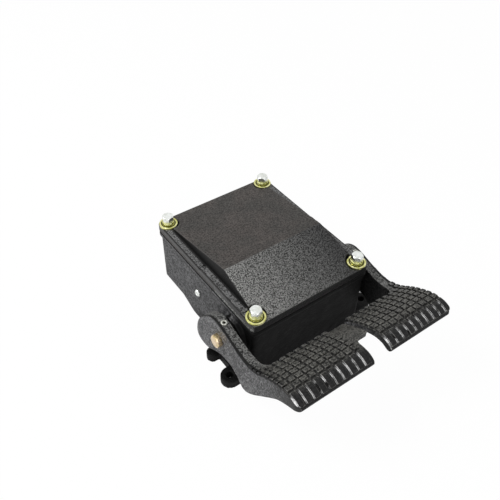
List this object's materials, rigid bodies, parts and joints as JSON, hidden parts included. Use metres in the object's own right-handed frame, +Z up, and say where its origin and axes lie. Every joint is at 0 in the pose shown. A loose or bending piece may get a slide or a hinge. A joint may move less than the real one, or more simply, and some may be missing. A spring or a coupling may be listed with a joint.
{
  "type": "double pedal foot switch",
  "caption": "Cast foot switch: a bolted box with a ridged lid, and studded treadles on side arms that each turn a shaft and press a switch inside.",
  "frame": {"origin": "on the floor plane, under the middle of the lid", "axes": "+X to the operator's right, +Y away from the operator to the cable inlet, +Z up"},
  "size_m": [0.18, 0.2629, 0.0924],
  "materials": {
    "black_casting": "sand-cast iron under black paint, satin, mottled",
    "black_lid": "sand-cast iron under black paint, grain on the front slope, smoother behind the ridge",
    "black_pedal": "sand-cast iron under black paint, satin, rubbed bright on the stud edges",
    "bright_zinc": "bright zinc plate",
    "yellow_zinc": "yellow passivated zinc plate",
    "gold_zinc": "yellow passivated zinc plate, pinkish gold",
    "steel": "plain machined steel",
    "bronze": "machined bearing bronze",
    "brass": "turned brass",
    "phenolic": "brown moulded phenolic",
    "rubber": "black rubber"
  },
  "bodies": {
    "base": {"base_casting": "black_casting", "lid_cover": "black_lid", "lid_gasket": "rubber", "lid_bolts": "bright_zinc", "lid_spring_washers": "yellow_zinc", "lid_flat_washers": "yellow_zinc", "pivot_bushes": "bronze", "stop_buffers": "rubber", "switch_brackets": "steel", "bracket_screws": "bright_zinc", "left_switch": "phenolic", "right_switch": "phenolic", "switch_screws": "bright_zinc", "terminal_block": "phenolic", "terminal_screws": "brass", "earth_screw": "brass", "left_return_spring": "steel", "right_return_spring": "steel"},
    "left_treadle": {"left_pedal": "black_pedal", "left_shaft": "steel", "left_pivot_bolt": "gold_zinc", "left_set_screw": "bright_zinc", "left_lever": "steel", "left_lever_pin": "steel"},
    "right_treadle": {"right_pedal": "black_pedal", "right_shaft": "steel", "right_pivot_bolt": "gold_zinc", "right_set_screw": "bright_zinc", "right_lever": "steel", "right_lever_pin": "steel"},
    "left_push_rod": {"left_plunger": "brass"},
    "right_push_rod": {"right_plunger": "brass"}
  },
  "joints": [
    {"name": "left_press", "type": "hinge", "parent": "base", "child": "left_treadle", "pos_m": [-0.0675, -0.054, 0.0465], "axis": [1, 0, 0], "range_deg": [0, 9], "stiffness_Nm_per_rad": 6, "springref_deg": -14.32, "deforming": ["left_return_spring"]},
    {"name": "right_press", "type": "hinge", "parent": "base", "child": "right_treadle", "pos_m": [0.0675, -0.054, 0.0465], "axis": [1, 0, 0], "range_deg": [0, 9], "stiffness_Nm_per_rad": 6, "springref_deg": -14.32, "deforming": ["right_return_spring"]},
    {"name": "left_plunger_slide", "type": "slide", "parent": "base", "child": "left_push_rod", "axis": [0, 0, 1], "range_m": [0, 0.0045]},
    {"name": "right_plunger_slide", "type": "slide", "parent": "base", "child": "right_push_rod", "axis": [0, 0, 1], "range_m": [0, 0.0045]}
  ],
  "couplings": [
    {"joint": "left_plunger_slide", "follows": "left_press", "m_per_rad": 0.027},
    {"joint": "right_plunger_slide", "follows": "right_press", "m_per_rad": 0.027}
  ]
}
